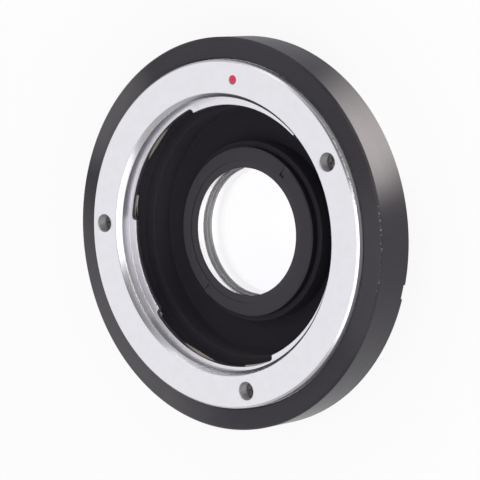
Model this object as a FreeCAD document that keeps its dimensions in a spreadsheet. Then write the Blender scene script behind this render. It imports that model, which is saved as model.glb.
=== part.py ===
import FreeCAD, Part
import os
import re

import Sketcher

# Lens mount adapter, in millimetres.
# The axis is Z, with the lens side up. Z is 0 at the rear end of the camera bayonet's spigot,
# on which the adapter lies. +Y passes through the red index dot of the lens side.
# Angles are in degrees, counted from +X towards +Y as seen from the lens side.

# Driving dimensions: name, value, meaning
SIZES = (
    ("body_radius", 34.5, "outside of the black body"),
    ("body_depth", 7.85, "black body from rear flange to front annulus"),
    ("front_rim_chamfer", 0.37, "body, outer front edge"),
    ("rear_rim_chamfer", 0.25, "body, outer rear edge"),
    ("turned_clearance", 0.05, "radial clearance of turned pieces in each other"),
    ("chamber_undercut", 0.5, "lug chamber beyond the register bore"),
    ("chamber_depth", 3.68, "lug chamber from the ring's back to its ledge"),
    ("ledge_width", 2.3, "ledge from the lug chamber in to the well"),
    ("well_depth", 12.1, "well from the ring's face to its floor"),
    ("well_corner", 0.35, "bevel in the corner of floor and well"),
    ("floor_thickness", 1.3, "floor of the well"),
    ("neck_wall", 0.65, "wall between the lug chamber and the camera bayonet's bore"),
    ("boss_wall", 1.75, "boss round the optical cell"),
    ("boss_height", 3.5, "boss above the floor"),
    ("boss_chamfer", 0.15, "boss, outer top edge"),
    ("annulus_width", 3.75, "body from its outside in to the ring's recess"),
    ("ring_proud", 1.15, "ring's face above the body's front annulus"),
    ("ring_edge_chamfer", 0.35, "ring, outer front edge"),
    ("ring_face_width", 6.6, "ring from its outside in to the register bore"),
    ("register_depth", 2.95, "bore that centres the lens, from the face to the tabs"),
    ("register_chamfer", 0.9, "lead-in of the bore"),
    ("tab_thickness", 0.97, "tabs"),
    ("tab_reach", 0.95, "tabs from the openings' bottom to their inner edge"),
    ("tab_edge_chamfer", 0.1, "tabs, inner front edge"),
    ("gap_ledge", 0.55, "register bore in to the openings' bottom"),
    ("gap_corner", 1.15, "fillet at each end of an opening"),
    ("gap_one_start_angle", 118.8, "first opening"),
    ("gap_one_span_angle", 65.1, "first opening"),
    ("gap_two_start_angle", 227.1, "second opening"),
    ("gap_two_span_angle", 73.5, "second opening"),
    ("gap_three_start_angle", 358.0, "third opening"),
    ("gap_three_span_angle", 60.0, "third opening"),
    ("ring_screw_inset", 3.1, "ring's outside in to the circle of its screws"),
    ("ring_screw_one_angle", 36.5, "first ring screw"),
    ("ring_screw_two_angle", 185.6, "second ring screw"),
    ("ring_screw_three_angle", 288.9, "third ring screw"),
    ("ring_recess_play", 0.1, "recess round the head of a ring screw"),
    ("ring_recess_depth", 1.8, "recess from the ring's face to the screw's head"),
    ("ring_head_radius", 1.5, "head of a ring screw"),
    ("ring_head_height", 0.9, "head of a ring screw"),
    ("ring_screw_grip", 2.5, "ring screw's thread in the body"),
    ("screw_radius", 0.95, "thread of every screw"),
    ("screw_play", 0.15, "round a screw in the piece that it holds"),
    ("thread_clearance", 0.02, "round a screw's thread in the body"),
    ("thread_run_out", 0.3, "threaded hole beyond the screw's end"),
    ("driver_slot_length", 1.7, "cross recess of a screw, across"),
    ("driver_slot_width", 0.4, "cross recess of a screw, one arm"),
    ("driver_slot_depth", 0.45, "cross recess of a screw"),
    ("dot_inset", 3.4, "ring's outside in to the circle of the lens index dot"),
    ("dot_radius", 0.8, "red enamel dots"),
    ("dot_depth", 0.35, "shallow hole of a dot"),
    ("dot_clearance", 0.01, "round the enamel in its hole"),
    ("dot_sink", 0.03, "enamel below the metal's face"),
    ("spring_thickness", 0.3, "bronze strip"),
    ("spring_clearance", 0.02, "strip in its step between ring and body"),
    ("spring_grip", 1.0, "strip held in its step beyond the lug chamber"),
    ("spring_show", 0.3, "strip's straight edge inside the openings' bottom"),
    ("spring_arm_setback", 0.35, "strip's arms behind the openings' bottom"),
    ("tongue_setback", 0.7, "tongues behind the tabs' inner edge"),
    ("tongue_play", 0.15, "tongue to the chamber's wall"),
    ("tongue_start_angle", 26.5, "middle of the strip to the start of a tongue"),
    ("tongue_flat_angle", 4.5, "flat root of a tongue"),
    ("tongue_bent_angle", 10.0, "bent length of a tongue"),
    ("tongue_bend_angle", 8.5, "tongue bent away from the tab"),
    ("spring_one_angle", 146.5, "middle of the first leaf spring"),
    ("spring_two_angle", 256.0, "middle of the second leaf spring"),
    ("spring_three_angle", 22.0, "middle of the third leaf spring"),
    ("stop_pin_radius", 0.6, "rotation stop pin"),
    ("stop_pin_lag_angle", 4.5, "pin beyond the end of the second opening"),
    ("stop_pin_root", 1.2, "pin in its hole in the ledge"),
    ("stop_pin_headroom", 0.4, "pin's end below the ring"),
    ("bayonet_reach", 5.4, "camera bayonet behind the rear flange"),
    ("rear_rim_width", 2.05, "body's rim round the camera bayonet's flange"),
    ("flange_thickness", 1.5, "flange plate of the camera bayonet"),
    ("spigot_wall", 1.65, "wall of the camera bayonet's spigot"),
    ("spigot_chamfer", 0.4, "spigot, outer rear edge"),
    ("spigot_bore_chamfer", 0.2, "spigot, inner rear edge"),
    ("lug_reach", 1.75, "camera lugs beyond the spigot"),
    ("lug_thickness", 1.7, "camera lug"),
    ("lug_setback", 2.1, "flange to the front of a lug"),
    ("lug_chamfer", 0.5, "lug, outer rear edge"),
    ("lug_span_angle", 50.0, "camera lug, width"),
    ("lug_start_angle", 65.0, "first camera lug"),
    ("lug_count", 3, "camera lugs"),
    ("lock_slot_width", 2.6, "slot for the camera's lock pin"),
    ("lock_slot_margin", 0.9, "camera lugs to the middle of the slot's round end"),
    ("lock_slot_angle", 352.5, "slot for the camera's lock pin"),
    ("lock_notch_depth", 0.65, "slot's shallow run across the body's rim"),
    ("bayonet_screw_inset", 2.1, "flange plate's outside in to its screws"),
    ("bayonet_screw_start_angle", 60.0, "first rear screw"),
    ("bayonet_screw_step_angle", 90.0, "from one rear screw to the next"),
    ("bayonet_head_radius", 1.5, "countersunk head"),
    ("bayonet_head_height", 0.7, "countersunk head, cone"),
    ("bayonet_head_sink", 0.06, "head below the flange's face"),
    ("bayonet_screw_grip", 2.0, "rear screw's thread in the body"),
    ("camera_dot_angle", 30.0, "camera index dot"),
    ("glass_radius", 12.0, "both lenses"),
    ("keeper_step", 0.6, "retaining rings' thread beyond the lenses"),
    ("cell_wall", 1.6, "optical cell round the retaining rings' thread"),
    ("cell_rim_width", 0.85, "rim of the cell beyond its thread"),
    ("cell_rim_height", 1.8, "rim of the cell above the boss"),
    ("cell_rim_fall", 0.3, "rim's face falls outwards by this"),
    ("cell_rim_chamfer", 0.15, "rim, outer edge"),
    ("spanner_slot_width", 1.1, "slots in the cell's rim and the rear retaining ring"),
    ("spanner_slot_depth", 0.45, "slots in the cell's rim and the rear retaining ring"),
    ("spanner_slot_angle", 57.5, "slots in the cell's rim and the rear retaining ring"),
    ("shoulder_thickness", 0.45, "inner shoulder between the lenses"),
    ("shoulder_width", 0.4, "inner shoulder over the lenses' rim"),
    ("keeper_relief", 0.25, "threaded bore beyond a retaining ring"),
    ("keeper_bevel", 0.3, "retaining rings, edge of the opening"),
    ("front_keeper_cover", 0.64, "front retaining ring over the lens's rim"),
    ("front_keeper_edge", 0.45, "front retaining ring at its opening"),
    ("front_keeper_rim", 0.62, "front retaining ring at its thread"),
    ("front_keeper_sink", 0.13, "front retaining ring below the cell's front"),
    ("rear_keeper_cover", 0.6, "rear retaining ring over the lens's rim"),
    ("rear_keeper_thickness", 0.7, "rear retaining ring"),
    ("front_glass_edge", 4.6, "front lens at its edge"),
    ("front_glass_crown", 0.45, "front lens, bulge of its front"),
    ("front_glass_hollow", 0.35, "front lens, hollow of its back"),
    ("rear_glass_edge", 0.7, "rear lens at its edge"),
    ("rear_glass_hollow", 0.2, "rear lens, hollow of its front"),
    ("rear_glass_crown", 0.2, "rear lens, bulge of its back"),
    ("glass_land", 0.2, "flat rim of a lens inside a ring's opening"),
)

# Heights and radii that follow from them
DERIVED = {
    "body_front": "bayonet_reach + body_depth",
    "face": "body_front + ring_proud",
    "tab_face": "face - register_depth",
    "ring_back": "tab_face - tab_thickness",
    "chamber_ledge": "ring_back - chamber_depth",
    "well_floor": "face - well_depth",
    "floor_back": "well_floor - floor_thickness",
    "boss_top": "well_floor + boss_height",
    "flange_front": "bayonet_reach + flange_thickness",
    "ring_seat_radius": "body_radius - annulus_width",
    "ring_radius": "ring_seat_radius - turned_clearance",
    "register_radius": "ring_radius - ring_face_width",
    "gap_radius": "register_radius - gap_ledge",
    "tab_radius": "gap_radius - tab_reach",
    "chamber_radius": "register_radius + chamber_undercut",
    "throat_radius": "chamber_radius - ledge_width",
    "hub_radius": "chamber_radius + neck_wall",
    "spigot_bore": "hub_radius + turned_clearance",
    "spigot_radius": "spigot_bore + spigot_wall",
    "lug_radius": "spigot_radius + lug_reach",
    "flange_seat_radius": "body_radius - rear_rim_width",
    "flange_radius": "flange_seat_radius - turned_clearance",
    "lug_back": "bayonet_reach - lug_setback - lug_thickness",
    "lock_slot_reach": "lug_radius + lock_slot_margin",
    "ring_screw_circle": "ring_radius - ring_screw_inset",
    "dot_circle": "ring_radius - dot_inset",
    "bayonet_screw_circle": "flange_radius - bayonet_screw_inset",
    "ring_recess_radius": "ring_head_radius + ring_recess_play",
    "ring_head_seat": "face - ring_recess_depth - ring_head_height",
    "screw_hole": "screw_radius + screw_play",
    "thread_hole": "screw_radius + thread_clearance",
    "spring_step": "ring_back - spring_thickness - spring_clearance",
    "spring_radius": "chamber_radius + spring_grip",
    "spring_step_radius": "spring_radius + turned_clearance",
    "spring_middle_reach": "gap_radius - spring_show",
    "spring_arm_radius": "gap_radius + spring_arm_setback",
    "tongue_radius": "tab_radius + tongue_setback",
    "tongue_outside": "chamber_radius - tongue_play",
    "bend_start_angle": "tongue_start_angle + tongue_flat_angle",
    "stop_pin_circle": "(chamber_radius + throat_radius) / 2",
    "stop_pin_angle": "gap_two_start_angle + gap_two_span_angle + stop_pin_lag_angle",
    "keeper_radius": "glass_radius + keeper_step",
    "glass_bore": "glass_radius + turned_clearance",
    "keeper_bore": "keeper_radius + turned_clearance",
    "cell_radius": "keeper_radius + cell_wall",
    "cell_bore": "cell_radius + turned_clearance",
    "cell_rim_radius": "cell_radius + cell_rim_width",
    "boss_radius": "cell_bore + boss_wall",
    "shoulder_radius": "glass_radius - shoulder_width",
    "front_aperture": "glass_radius - front_keeper_cover",
    "rear_aperture": "glass_radius - rear_keeper_cover",
    "cell_front": "boss_top + cell_rim_height",
    "front_glass_front": "cell_front - front_keeper_sink - front_keeper_rim",
    "shoulder_front": "front_glass_front - front_glass_edge",
    "shoulder_back": "shoulder_front - shoulder_thickness",
    "rear_glass_back": "shoulder_back - rear_glass_edge",
    "cell_back": "rear_glass_back - rear_keeper_thickness",
}

RING_SCREW_ANGLES = ("ring_screw_one_angle", "ring_screw_two_angle", "ring_screw_three_angle")
SPRING_ANGLES = ("spring_one_angle", "spring_two_angle", "spring_three_angle")
GAPS = ("gap_one", "gap_two", "gap_three")
BAYONET_SCREWS = 4
SAME_PLACE = 0.001

ALIASES = {alias for alias, value, meaning in SIZES}
doc = FreeCAD.newDocument("LensMountAdapter")
sheet = doc.addObject("Spreadsheet::Sheet", "Sizes")
for row, (alias, value, meaning) in enumerate(SIZES, start=1):
    sheet.set(f"A{row}", alias)
    sheet.set(f"B{row}", str(value))
    sheet.setAlias(f"B{row}", alias)
    sheet.set(f"C{row}", meaning)
doc.recompute()


def expression(text):
    """The text with each derived name written out and each size read from the sheet."""
    def replace(match):
        word = match.group(0)
        if word in DERIVED:
            return "(" + expression(DERIVED[word]) + ")"
        return "Sizes." + word if word in ALIASES else word
    return re.sub(r"[a-z][a-z_]*", replace, text)


def value_of(text):
    return float(sheet.evalExpression(expression(text)))


def bind(feature, **sizes):
    """Ties properties to the sheet. A double underscore in a name stands for a dot."""
    for name, text in sizes.items():
        feature.setExpression(name.replace("__", "."), expression(text))


def new_body(label):
    body = doc.addObject("PartDesign::Body", label)
    body.Label = label
    return body


def attach(feature, body, role="XY_Plane"):
    plane = next(item for item in body.Origin.OriginFeatures if item.Role == role)
    feature.AttachmentSupport = (plane, [""])
    feature.MapMode = "FlatFace"


def fix_point(sketch, edge, end, radius, height):
    """Holds an edge's end at a radius from the axis and a height."""
    places = (("DistanceX", radius, -2), ("DistanceY", height, -1))
    for kind, text, axis in places:
        if text == "0":
            sketch.addConstraint(Sketcher.Constraint("PointOnObject", edge, end, axis))
            continue
        index = sketch.addConstraint(Sketcher.Constraint(kind, -1, 1, edge, end, value_of(text)))
        sketch.setExpression(f"Constraints[{index}]", expression(text))


def section(body, name, points, curved=()):
    """Closed half section beside the axis. points holds (radius, height) pairs.

    curved lists the edges, by their first point, that are arcs centred on the axis."""
    sketch = body.newObject("Sketcher::SketchObject", name)
    attach(sketch, body, "XZ_Plane")
    corners = [FreeCAD.Vector(value_of(r), value_of(z), 0) for r, z in points]
    joints = []
    for index, start in enumerate(corners):
        stop = corners[(index + 1) % len(corners)]
        if index not in curved:
            sketch.addGeometry(Part.LineSegment(start, stop))
            joints.append((1, 2))
            continue
        arc, forwards = axis_arc(start, stop)
        sketch.addGeometry(arc)
        sketch.addConstraint(Sketcher.Constraint("PointOnObject", index, 3, -2))
        joints.append((1, 2) if forwards else (2, 1))
    for index, (first, last) in enumerate(joints):
        following = (index + 1) % len(joints)
        sketch.addConstraint(
            Sketcher.Constraint("Coincident", index, last, following, joints[following][0]))
        fix_point(sketch, index, first, *points[index])
    return sketch


def axis_arc(start, stop):
    """Arc from start to stop about a centre on the axis, and whether it runs anticlockwise."""
    centre_height = (start.y ** 2 + start.x ** 2 - stop.y ** 2 - stop.x ** 2) / 2 / (start.y - stop.y)
    centre = FreeCAD.Vector(0, centre_height, 0)
    circle = Part.Circle(centre, FreeCAD.Vector(0, 0, 1), (start - centre).Length)
    forwards = (start - centre).cross(stop - centre).z > 0
    first, last = (start, stop) if forwards else (stop, start)
    return Part.ArcOfCircle(circle, circle.parameter(first), circle.parameter(last)), forwards


def turn(body, name, points, kind="PartDesign::Revolution", curved=()):
    """Revolves a half section round the axis, to add or with a Groove to cut."""
    sketch = section(body, name + "Section", points, curved)
    turned = body.newObject(kind, name)
    turned.Profile = sketch
    turned.ReferenceAxis = (sketch, ["V_Axis"])
    turned.Angle = 360
    return turned


def on_circle(feature, circle, angle, height, where="AttachmentOffset"):
    """Puts a feature on a circle round the axis."""
    bind(feature, **{
        where + "__Base__x": f"({circle}) * cos({angle})",
        where + "__Base__y": f"({circle}) * sin({angle})",
        where + "__Base__z": height,
    })


def drill(body, name, radius, spot, low, high):
    """Round hole along the axis' direction; spot is its circle and angle."""
    hole = body.newObject("PartDesign::SubtractiveCylinder", name)
    attach(hole, body)
    bind(hole, Radius=radius, Height=f"({high}) - ({low})")
    on_circle(hole, *spot, low)
    return hole


def cross_recess(body, low):
    """Cross recess of a screw head, cut from the given height upwards."""
    for name, turned in (("SlotAlong", 0), ("SlotAcross", 90)):
        slot = body.newObject("PartDesign::SubtractiveBox", name)
        attach(slot, body)
        slot.AttachmentOffset = FreeCAD.Placement(
            FreeCAD.Vector(), FreeCAD.Rotation(FreeCAD.Vector(0, 0, 1), turned))
        bind(slot, Length="driver_slot_length", Width="driver_slot_width",
             Height="driver_slot_depth", AttachmentOffset__Base__z=low)
        side, along = ("driver_slot_width / 2", "driver_slot_length / 2")
        corner = (f"-{along}", f"-{side}") if turned == 0 else (side, f"-{along}")
        bind(slot, AttachmentOffset__Base__x=corner[0], AttachmentOffset__Base__y=corner[1])


def make_body():
    """Black body: one turning, with threaded holes and the notch in its rear rim."""
    body = new_body("body")
    turn(body, "Turning", (
        ("cell_bore", "floor_back"),
        ("hub_radius", "floor_back"),
        ("hub_radius", "flange_front"),
        ("flange_seat_radius", "flange_front"),
        ("flange_seat_radius", "bayonet_reach"),
        ("body_radius - rear_rim_chamfer", "bayonet_reach"),
        ("body_radius", "bayonet_reach + rear_rim_chamfer"),
        ("body_radius", "body_front - front_rim_chamfer"),
        ("body_radius - front_rim_chamfer", "body_front"),
        ("ring_seat_radius", "body_front"),
        ("ring_seat_radius", "ring_back"),
        ("spring_step_radius", "ring_back"),
        ("spring_step_radius", "spring_step"),
        ("chamber_radius", "spring_step"),
        ("chamber_radius", "chamber_ledge"),
        ("throat_radius", "chamber_ledge"),
        ("throat_radius", "well_floor + well_corner"),
        ("throat_radius - well_corner", "well_floor"),
        ("boss_radius", "well_floor"),
        ("boss_radius", "boss_top - boss_chamfer"),
        ("boss_radius - boss_chamfer", "boss_top"),
        ("cell_bore", "boss_top"),
    ))
    for number, angle in enumerate(RING_SCREW_ANGLES, start=1):
        drill(body, f"RingThread{number}", "thread_hole", ("ring_screw_circle", angle),
              "ring_back - ring_screw_grip - thread_run_out", "ring_back")
    for number in range(BAYONET_SCREWS):
        drill(body, f"BayonetThread{number + 1}", "thread_hole",
              ("bayonet_screw_circle", bayonet_screw_angle(number)),
              "flange_front", "flange_front + bayonet_screw_grip + thread_run_out")
    drill(body, "StopPinHole", "stop_pin_radius + thread_clearance",
          ("stop_pin_circle", "stop_pin_angle"), "chamber_ledge - stop_pin_root", "chamber_ledge")
    lock_slot(body, "LockNotch", "flange_radius", "bayonet_reach + lock_notch_depth")
    return body


def bayonet_screw_angle(number):
    return f"bayonet_screw_start_angle + {number} * bayonet_screw_step_angle"


def lock_slot(body, name, reach, top):
    """Radial slot from the given reach out through the rim, up to the given height."""
    slot = body.newObject("PartDesign::SubtractiveBox", name)
    attach(slot, body)
    slot.AttachmentOffset = FreeCAD.Placement(
        FreeCAD.Vector(), FreeCAD.Rotation(FreeCAD.Vector(0, 0, 1), value_of("lock_slot_angle")))
    side = "lock_slot_width / 2"
    bind(slot, Length=f"body_radius - ({reach}) + rear_rim_width", Width="lock_slot_width",
         Height=f"({top}) - bayonet_reach",
         AttachmentOffset__Rotation__Angle="lock_slot_angle",
         AttachmentOffset__Base__x=f"({reach}) * cos(lock_slot_angle) + {side} * sin(lock_slot_angle)",
         AttachmentOffset__Base__y=f"({reach}) * sin(lock_slot_angle) - {side} * cos(lock_slot_angle)",
         AttachmentOffset__Base__z="bayonet_reach")


def upright_edges(shape, radius):
    """Names of the straight edges along the axis' direction that lie at a radius."""
    found = []
    for index, edge in enumerate(shape.Edges, start=1):
        ends = [FreeCAD.Vector(vertex.X, vertex.Y, 0) for vertex in edge.Vertexes]
        if len(ends) == 2 and (ends[0] - ends[1]).Length < SAME_PLACE:
            if all(abs(end.Length - radius) < SAME_PLACE for end in ends):
                found.append(f"Edge{index}")
    return found


def make_lens_bayonet_ring():
    """Lens bayonet: register bore, three unequal tabs with filleted ends, and screw recesses."""
    ring = new_body("lens_bayonet_ring")
    turn(ring, "Turning", (
        ("tab_radius", "ring_back"),
        ("ring_radius", "ring_back"),
        ("ring_radius", "face - ring_edge_chamfer"),
        ("ring_radius - ring_edge_chamfer", "face"),
        ("register_radius + register_chamfer", "face"),
        ("register_radius", "face - register_chamfer"),
        ("register_radius", "tab_face"),
        ("tab_radius + tab_edge_chamfer", "tab_face"),
        ("tab_radius", "tab_face - tab_edge_chamfer"),
    ))
    for gap in GAPS:
        opening = ring.newObject("PartDesign::SubtractiveCylinder", gap + "_opening")
        attach(opening, ring)
        opening.AttachmentOffset = FreeCAD.Placement(
            FreeCAD.Vector(), FreeCAD.Rotation(FreeCAD.Vector(0, 0, 1), value_of(gap + "_start_angle")))
        bind(opening, Radius="gap_radius", Height="tab_face - ring_back", Angle=gap + "_span_angle",
             AttachmentOffset__Rotation__Angle=gap + "_start_angle",
             AttachmentOffset__Base__z="ring_back")
    doc.recompute()
    corners = ring.newObject("PartDesign::Fillet", "OpeningCorners")
    corners.Base = (opening, upright_edges(opening.Shape, value_of("gap_radius")))
    bind(corners, Radius="min(gap_corner; 0.97 * (gap_radius - tab_radius - tab_edge_chamfer))")
    for number, angle in enumerate(RING_SCREW_ANGLES, start=1):
        spot = ("ring_screw_circle", angle)
        drill(ring, f"ScrewRecess{number}", "ring_recess_radius", spot, "ring_head_seat", "face")
        drill(ring, f"ScrewHole{number}", "screw_hole", spot, "ring_back", "ring_head_seat")
    drill(ring, "DotHole", "dot_radius", ("dot_circle", "90"), "face - dot_depth", "face")
    return ring


def make_ring_screw(number, angle):
    """Cheese-head screw that holds the lens bayonet ring; its own zero is under the head."""
    screw = new_body(f"ring_screw_{number}")
    length = "ring_head_seat - ring_back + ring_screw_grip"
    turn(screw, "Turning", (
        ("0", f"-({length})"),
        ("screw_radius", f"-({length})"),
        ("screw_radius", "0"),
        ("ring_head_radius", "0"),
        ("ring_head_radius", "ring_head_height"),
        ("0", "ring_head_height"),
    ))
    cross_recess(screw, "ring_head_height - driver_slot_depth")
    on_circle(screw, "ring_screw_circle", angle, "ring_head_seat", where="Placement")
    return screw


def make_bayonet_screw(number):
    """Countersunk screw of the camera bayonet; its own zero is the head's flat, facing back."""
    screw = new_body(f"bayonet_screw_{number + 1}")
    length = "flange_thickness - bayonet_head_sink + bayonet_screw_grip"
    turn(screw, "Turning", (
        ("0", "0"),
        ("bayonet_head_radius", "0"),
        ("screw_radius", "bayonet_head_height"),
        ("screw_radius", length),
        ("0", length),
    ))
    cross_recess(screw, "0")
    on_circle(screw, "bayonet_screw_circle", bayonet_screw_angle(number),
              "bayonet_reach + bayonet_head_sink", where="Placement")
    return screw


def make_dot(label, circle, angle, height):
    """Disc of red enamel in its shallow hole."""
    dot = new_body(label)
    disc = dot.newObject("PartDesign::AdditiveCylinder", "Disc")
    attach(disc, dot)
    bind(disc, Radius="dot_radius - dot_clearance", Height="dot_depth - dot_sink")
    on_circle(dot, circle, angle, height, where="Placement")
    return dot


def primitive(kind, name, turned="0", **sizes):
    """Box or cylinder, turned about the main axis by an angle of the sheet."""
    shape = doc.addObject(kind, name)
    shape.Placement = FreeCAD.Placement(
        FreeCAD.Vector(), FreeCAD.Rotation(FreeCAD.Vector(0, 0, 1), value_of(turned)))
    bind(shape, Placement__Rotation__Angle=turned, **sizes)
    return shape


def combine(kind, name, first, second):
    made = doc.addObject(kind, name)
    made.Base, made.Tool = first, second
    return made


def fuse(name, *shapes):
    fused = doc.addObject("Part::MultiFuse", name)
    fused.Shapes = list(shapes)
    return fused


def ring_sector(name, inner, outer, first, last, height):
    """Flat piece of a ring between two radii and two angles, below the strip's upper face."""
    low = f"-({height})"
    sector = primitive("Part::Cylinder", name + "Sector", turned=first, Radius=outer, Height=height,
                       Angle=f"({last}) - ({first})", Placement__Base__z=low)
    bore = primitive("Part::Cylinder", name + "Bore", Radius=inner, Height=height,
                     Placement__Base__z=low)
    return combine("Part::Cut", name, sector, bore)


def bent_plate(name):
    """Plate of the strip's thickness that falls away beyond the bend line."""
    plate = primitive("Part::Box", name, Length="spring_radius", Width="spring_radius",
                      Height="spring_thickness")
    tilt = FreeCAD.Rotation(FreeCAD.Vector(-1, 0, 0), value_of("tongue_bend_angle"))
    plate.Placement = FreeCAD.Placement(FreeCAD.Vector(), tilt)
    bind(plate, Placement__Rotation__Angle="tongue_bend_angle",
         Placement__Base__y="-spring_thickness * sin(tongue_bend_angle)",
         Placement__Base__z="-spring_thickness * cos(tongue_bend_angle)")
    return plate


def make_leaf_spring(number, angle):
    """Bronze leaf spring under the ring, the same on both sides of its own X axis.

    Its middle is a segment with a straight inner edge, held between ring and body and seen in an
    opening between two tabs. An arm on each side runs to a tongue, which is bent away from the
    next tab to press on the lens's lug."""
    name = f"LeafSpring{number}"
    disc = primitive("Part::Cylinder", name + "Disc", Radius="spring_radius",
                     Height="spring_thickness", Placement__Base__z="-spring_thickness")
    beyond_edge = primitive("Part::Box", name + "Edge", Length="spring_radius",
                            Width="2 * spring_radius", Height="spring_thickness",
                            Placement__Base__x="spring_middle_reach",
                            Placement__Base__y="-spring_radius",
                            Placement__Base__z="-spring_thickness")
    middle = combine("Part::Common", name + "Middle", disc, beyond_edge)
    arm = ring_sector(name + "Arm", "spring_arm_radius", "spring_radius",
                      "0", "bend_start_angle", "spring_thickness")
    root = ring_sector(name + "TongueRoot", "tongue_radius", "tongue_outside",
                       "tongue_start_angle", "bend_start_angle", "spring_thickness")
    room = "spring_thickness + spring_radius * tan(tongue_bend_angle)"
    outline = ring_sector(name + "TongueOutline", "tongue_radius", "tongue_outside",
                          "-tongue_flat_angle",
                          "tongue_bent_angle", room)
    tongue = combine("Part::Common", name + "Tongue", outline, bent_plate(name + "TonguePlate"))
    tongue.Placement = FreeCAD.Placement(
        FreeCAD.Vector(), FreeCAD.Rotation(FreeCAD.Vector(0, 0, 1), value_of("bend_start_angle")))
    bind(tongue, Placement__Rotation__Angle="bend_start_angle")
    one_side = fuse(name + "OneSide", arm, root, tongue)
    other_side = doc.addObject("Part::Mirroring", name + "OtherSide")
    other_side.Source = one_side
    other_side.Normal = FreeCAD.Vector(0, 1, 0)
    spring = fuse(f"leaf_spring_{number}", middle, one_side, other_side)
    spring.Label = f"leaf_spring_{number}"
    spring.Refine = True
    spring.Placement = FreeCAD.Placement(
        FreeCAD.Vector(), FreeCAD.Rotation(FreeCAD.Vector(0, 0, 1), value_of(angle)))
    bind(spring, Placement__Rotation__Angle=angle, Placement__Base__z="ring_back")
    return spring


def make_stop_pin():
    """Steel pin in the lug chamber against which the lens stops."""
    pin = new_body("rotation_stop_pin")
    rod = pin.newObject("PartDesign::AdditiveCylinder", "Rod")
    attach(rod, pin)
    bind(rod, Radius="stop_pin_radius", Height="stop_pin_root + chamber_depth - stop_pin_headroom")
    on_circle(pin, "stop_pin_circle", "stop_pin_angle", "chamber_ledge - stop_pin_root",
              where="Placement")
    return pin


def make_camera_bayonet():
    """Camera bayonet: flange plate, spigot, three lugs, countersunk holes and lock-pin slot."""
    bayonet = new_body("camera_bayonet")
    turn(bayonet, "Turning", (
        ("spigot_bore + spigot_bore_chamfer", "0"),
        ("spigot_radius - spigot_chamfer", "0"),
        ("spigot_radius", "spigot_chamfer"),
        ("spigot_radius", "bayonet_reach"),
        ("flange_radius", "bayonet_reach"),
        ("flange_radius", "flange_front"),
        ("spigot_bore", "flange_front"),
        ("spigot_bore", "spigot_bore_chamfer"),
    ))
    lug = bayonet.newObject("PartDesign::AdditiveCylinder", "Lug")
    attach(lug, bayonet)
    lug.AttachmentOffset = FreeCAD.Placement(
        FreeCAD.Vector(), FreeCAD.Rotation(FreeCAD.Vector(0, 0, 1), value_of("lug_start_angle")))
    bind(lug, Radius="lug_radius", Height="lug_thickness", Angle="lug_span_angle",
         AttachmentOffset__Rotation__Angle="lug_start_angle", AttachmentOffset__Base__z="lug_back")
    lugs = bayonet.newObject("PartDesign::PolarPattern", "Lugs")
    lugs.Originals = [lug]
    axis = next(item for item in bayonet.Origin.OriginFeatures if item.Role == "Z_Axis")
    lugs.Axis = (axis, [""])
    lugs.Angle = 360
    bind(lugs, Occurrences="lug_count")
    bayonet.Tip = lugs
    turn(bayonet, "LugLeadIn", (
        ("lug_radius - lug_chamfer", "lug_back"),
        ("lug_radius", "lug_back"),
        ("lug_radius", "lug_back + lug_chamfer"),
    ), kind="PartDesign::Groove")
    drill(bayonet, "Bore", "spigot_bore", ("0", "0"), "0", "flange_front")
    for number in range(BAYONET_SCREWS):
        spot = ("bayonet_screw_circle", bayonet_screw_angle(number))
        drill(bayonet, f"ScrewHole{number + 1}", "screw_hole", spot, "bayonet_reach", "flange_front")
        countersink = bayonet.newObject("PartDesign::SubtractiveCone", f"Countersink{number + 1}")
        attach(countersink, bayonet)
        bind(countersink, Radius1="bayonet_head_radius + screw_play", Radius2="screw_hole",
             Height="bayonet_head_height + bayonet_head_sink")
        on_circle(countersink, *spot, "bayonet_reach")
    drill(bayonet, "DotHole", "dot_radius", ("bayonet_screw_circle", "camera_dot_angle"),
          "bayonet_reach", "bayonet_reach + dot_depth")
    drill(bayonet, "LockSlotEnd", "lock_slot_width / 2", ("lock_slot_reach", "lock_slot_angle"),
          "bayonet_reach", "flange_front")
    lock_slot(bayonet, "LockSlot", "lock_slot_reach", "flange_front")
    return bayonet


def make_lens_cell():
    """Optical cell: threaded barrel with an inner shoulder between its two lenses."""
    cell = new_body("lens_cell")
    rim_edge = "cell_front - cell_rim_fall"
    front_thread = "front_glass_front - keeper_relief"
    rear_thread = "rear_glass_back + keeper_relief"
    turn(cell, "Turning", (
        ("keeper_bore", "cell_back"),
        ("cell_radius", "cell_back"),
        ("cell_radius", "boss_top"),
        ("cell_rim_radius", "boss_top"),
        ("cell_rim_radius", f"{rim_edge} - cell_rim_chamfer"),
        ("cell_rim_radius - cell_rim_chamfer", rim_edge),
        ("keeper_bore", "cell_front"),
        ("keeper_bore", front_thread),
        ("glass_bore", front_thread),
        ("glass_bore", "shoulder_front"),
        ("shoulder_radius", "shoulder_front"),
        ("shoulder_radius", "shoulder_back"),
        ("glass_bore", "shoulder_back"),
        ("glass_bore", rear_thread),
        ("keeper_bore", rear_thread),
    ))
    spanner_slots(cell, "cell_rim_radius", "cell_front - spanner_slot_depth")
    return cell


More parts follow.
